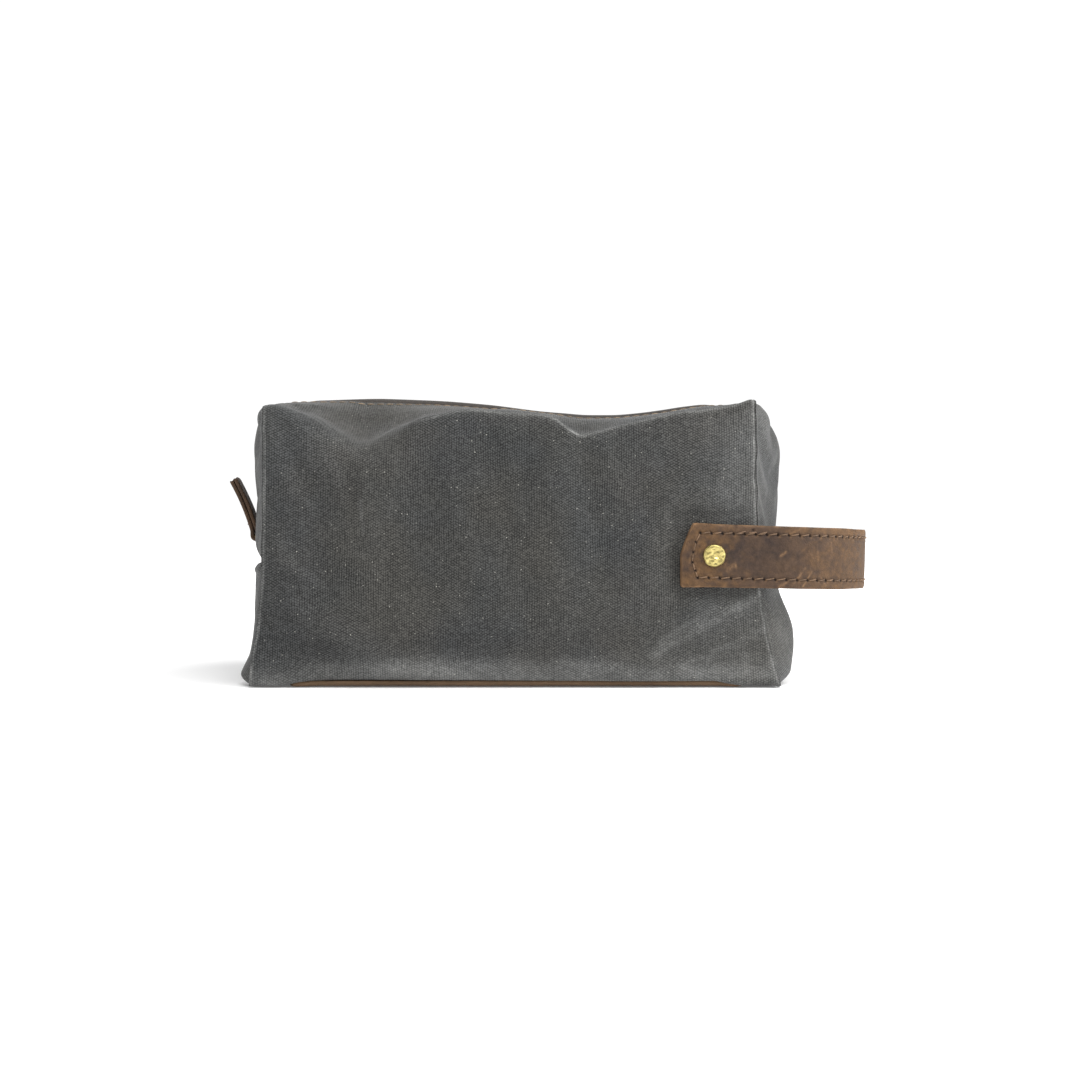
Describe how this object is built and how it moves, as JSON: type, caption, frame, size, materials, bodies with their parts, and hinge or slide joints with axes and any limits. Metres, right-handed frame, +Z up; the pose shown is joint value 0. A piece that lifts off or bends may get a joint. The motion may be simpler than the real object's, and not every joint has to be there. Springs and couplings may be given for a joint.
{
  "type": "shaving kit bag",
  "caption": "Boxy soft wash bag in waxed canvas with a zipper over the top and down both ends, a leather base patch, a leather zipper pull and a riveted leather carry loop at one end.",
  "frame": {"origin": "middle of the underside of the leather base patch", "axes": "+X towards the end with the carry loop, -Y out of the front wall, +Z up"},
  "size_m": [0.2989, 0.1214, 0.1267],
  "materials": {
    "canvas": "waxed, worn plain weave",
    "lining": "plain cotton",
    "leather": "oiled, scuffed",
    "dark_leather": "oiled",
    "zipper_tape": "woven tape",
    "thread": "bonded thread",
    "brass": "hammered, worn",
    "zipper_metal": "antique"
  },
  "bodies": {
    "bag": {"canvas_front_wall": "canvas", "canvas_back_wall": "canvas", "canvas_base": "canvas", "canvas_left_end_lower": "canvas", "canvas_right_end_lower": "canvas", "canvas_left_end_upper_front": "canvas", "canvas_left_end_upper_back": "canvas", "canvas_right_end_upper_front": "canvas", "canvas_right_end_upper_back": "canvas", "lining_tub": "lining", "leather_base_panel": "leather", "base_stitching": "thread", "zipper_tape_left_end": "zipper_tape", "zipper_tape_right_end": "zipper_tape", "zipper_teeth_left_end": "zipper_metal", "zipper_teeth_right_end": "zipper_metal", "zipper_stitching_ends": "thread", "zipper_top_stops": "zipper_metal", "zipper_bottom_stop": "zipper_metal", "front_rivet": "brass", "front_rivet_burr": "brass", "back_rivet": "brass", "back_rivet_burr": "brass"},
    "front_flap": {"canvas_top_front": "canvas", "lining_top_front": "lining", "zipper_tape_front_top": "zipper_tape", "zipper_teeth_front_top": "zipper_metal", "zipper_stitching_front": "thread"},
    "back_flap": {"canvas_top_back": "canvas", "lining_top_back": "lining", "zipper_tape_back_top": "zipper_tape", "zipper_teeth_back_top": "zipper_metal", "zipper_stitching_back": "thread"},
    "slider": {"zipper_slider": "zipper_metal"},
    "pull_ring": {"slider_pull_ring": "zipper_metal"},
    "pull": {"leather_pull": "dark_leather", "leather_pull_thread": "thread"},
    "handle": {"handle_outer_strap": "leather", "handle_inner_strap": "leather", "handle_stitching": "thread"}
  },
  "joints": [
    {"name": "front_flap_open", "type": "hinge", "parent": "bag", "child": "front_flap", "pos_m": [0, -0.0549, 0.12], "axis": [1, 0, 0], "range_deg": [0, 65]},
    {"name": "back_flap_open", "type": "hinge", "parent": "bag", "child": "back_flap", "pos_m": [0, 0.0549, 0.12], "axis": [1, 0, 0], "range_deg": [-65, 0]},
    {"name": "slider_run", "type": "slide", "parent": "bag", "child": "slider", "axis": [-0.1247, 0, 0.9922], "range_m": [0, 0.04]},
    {"name": "ring_swing", "type": "hinge", "parent": "slider", "child": "pull_ring", "pos_m": [-0.11916, 0, 0.05927], "axis": [0, 1, 0], "range_deg": [-110, 10]},
    {"name": "pull_swing", "type": "hinge", "parent": "pull_ring", "child": "pull", "pos_m": [-0.12265, 0, 0.06534], "axis": [0, 1, 0], "range_deg": [-45, 5]},
    {"name": "handle_swing", "type": "hinge", "parent": "bag", "child": "handle", "pos_m": [0.0844, 0, 0.0566], "axis": [0, -1, 0], "range_deg": [-10, 20]}
  ],
  "couplings": [
    {"joint": "back_flap_open", "follows": "front_flap_open", "ratio": -1}
  ]
}
